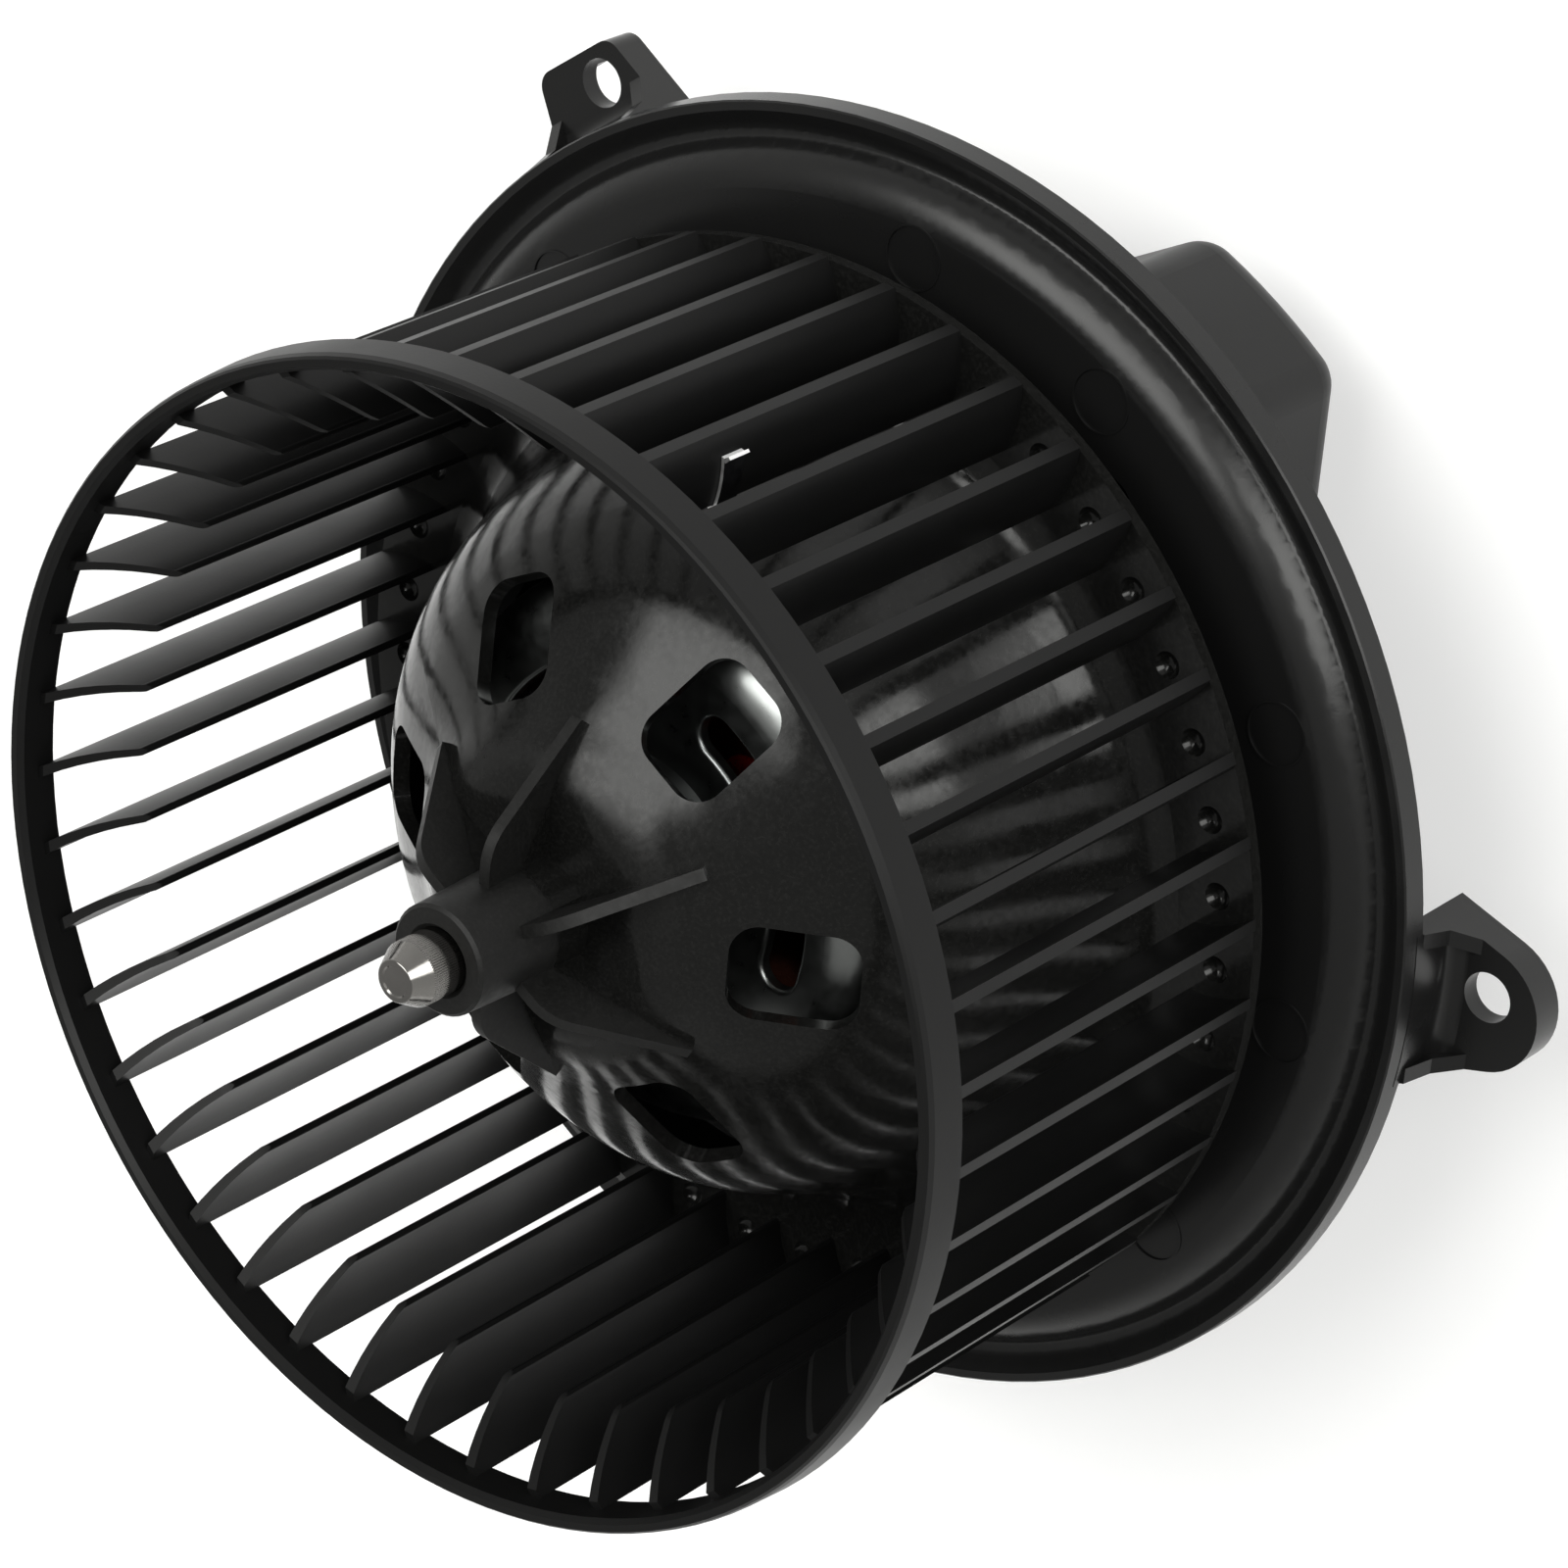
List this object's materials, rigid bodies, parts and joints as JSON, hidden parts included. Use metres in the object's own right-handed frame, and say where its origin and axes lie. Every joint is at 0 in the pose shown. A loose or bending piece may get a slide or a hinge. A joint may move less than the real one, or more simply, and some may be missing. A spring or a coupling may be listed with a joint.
{
  "type": "blower motor wheel",
  "caption": "Squirrel-cage blower wheel with a domed hub on a DC motor, in a round dished flange housing with screw ears and a cooling-air duct.",
  "frame": {"origin": "on the fan axis, in the plane of the flange lip's front edge", "axes": "+Z along the shaft towards its free end, +Y towards the connector, X across"},
  "size_m": [0.1717, 0.1756, 0.1144],
  "materials": {
    "flange_plastic": "satin moulded black",
    "cover_plastic": "satin moulded black",
    "wheel_plastic_gloss": "semi-gloss moulded black",
    "wheel_plastic_satin": "satin moulded black",
    "screw_zinc": "zinc plated",
    "tinned_brass": "tin plated",
    "rubber": "matt",
    "zinc_can": "drawn, bright zinc plated",
    "ferrite": "sintered, ground",
    "spring_steel": "bright",
    "clip_steel": "blued, bright on the sheared edges",
    "sintered_bronze": "oiled, sintered",
    "card_plastic": "brown phenolic",
    "sheet_brass": "rolled",
    "carbon": "pressed graphite",
    "enamelled_copper": "enamelled wire",
    "shaft_steel": "ground",
    "red_lamination": "powder-coated red over steel",
    "commutator_copper": "turned"
  },
  "bodies": {
    "housing": {"flange_housing": "flange_plastic", "motor_cover": "cover_plastic", "cover_screws": "screw_zinc", "connector_socket": "cover_plastic", "terminal_blades": "tinned_brass", "side_isolators": "rubber", "rear_isolator": "rubber", "motor_can": "zinc_can", "end_bell": "zinc_can", "magnet_left": "ferrite", "magnet_right": "ferrite", "magnet_springs": "spring_steel", "front_bearing": "sintered_bronze", "rear_bearing": "sintered_bronze", "front_bearing_retainer": "spring_steel", "rear_bearing_retainer": "spring_steel", "brush_card": "card_plastic", "brush_holder_a": "sheet_brass", "brush_holder_b": "sheet_brass", "brush_spring_a": "spring_steel", "brush_spring_b": "spring_steel", "suppression_chokes": "enamelled_copper"},
    "rotor": {"shaft": "shaft_steel", "armature_core": "red_lamination", "windings": "enamelled_copper", "commutator_hub": "card_plastic", "commutator_bars": "commutator_copper", "thrust_washers": "spring_steel", "fan_hub": "wheel_plastic_gloss", "fan_blades": "wheel_plastic_satin", "fan_rim": "wheel_plastic_satin", "balance_clip": "clip_steel"},
    "brush_a": {"brush_a": "carbon"},
    "brush_b": {"brush_b": "carbon"}
  },
  "joints": [
    {"name": "wheel_spin", "type": "hinge", "parent": "housing", "child": "rotor", "pos_m": [0, 0, 0], "axis": [0, 0, 1], "continuous": true},
    {"name": "brush_a_slide", "type": "slide", "parent": "housing", "child": "brush_a", "axis": [1, 0, 0], "range_m": [0, 0.004], "stiffness_N_per_m": 200, "springref_m": -0.008, "deforming": ["brush_spring_a"]},
    {"name": "brush_b_slide", "type": "slide", "parent": "housing", "child": "brush_b", "axis": [-1, 0, 0], "range_m": [0, 0.004], "stiffness_N_per_m": 200, "springref_m": -0.008, "deforming": ["brush_spring_b"]}
  ]
}
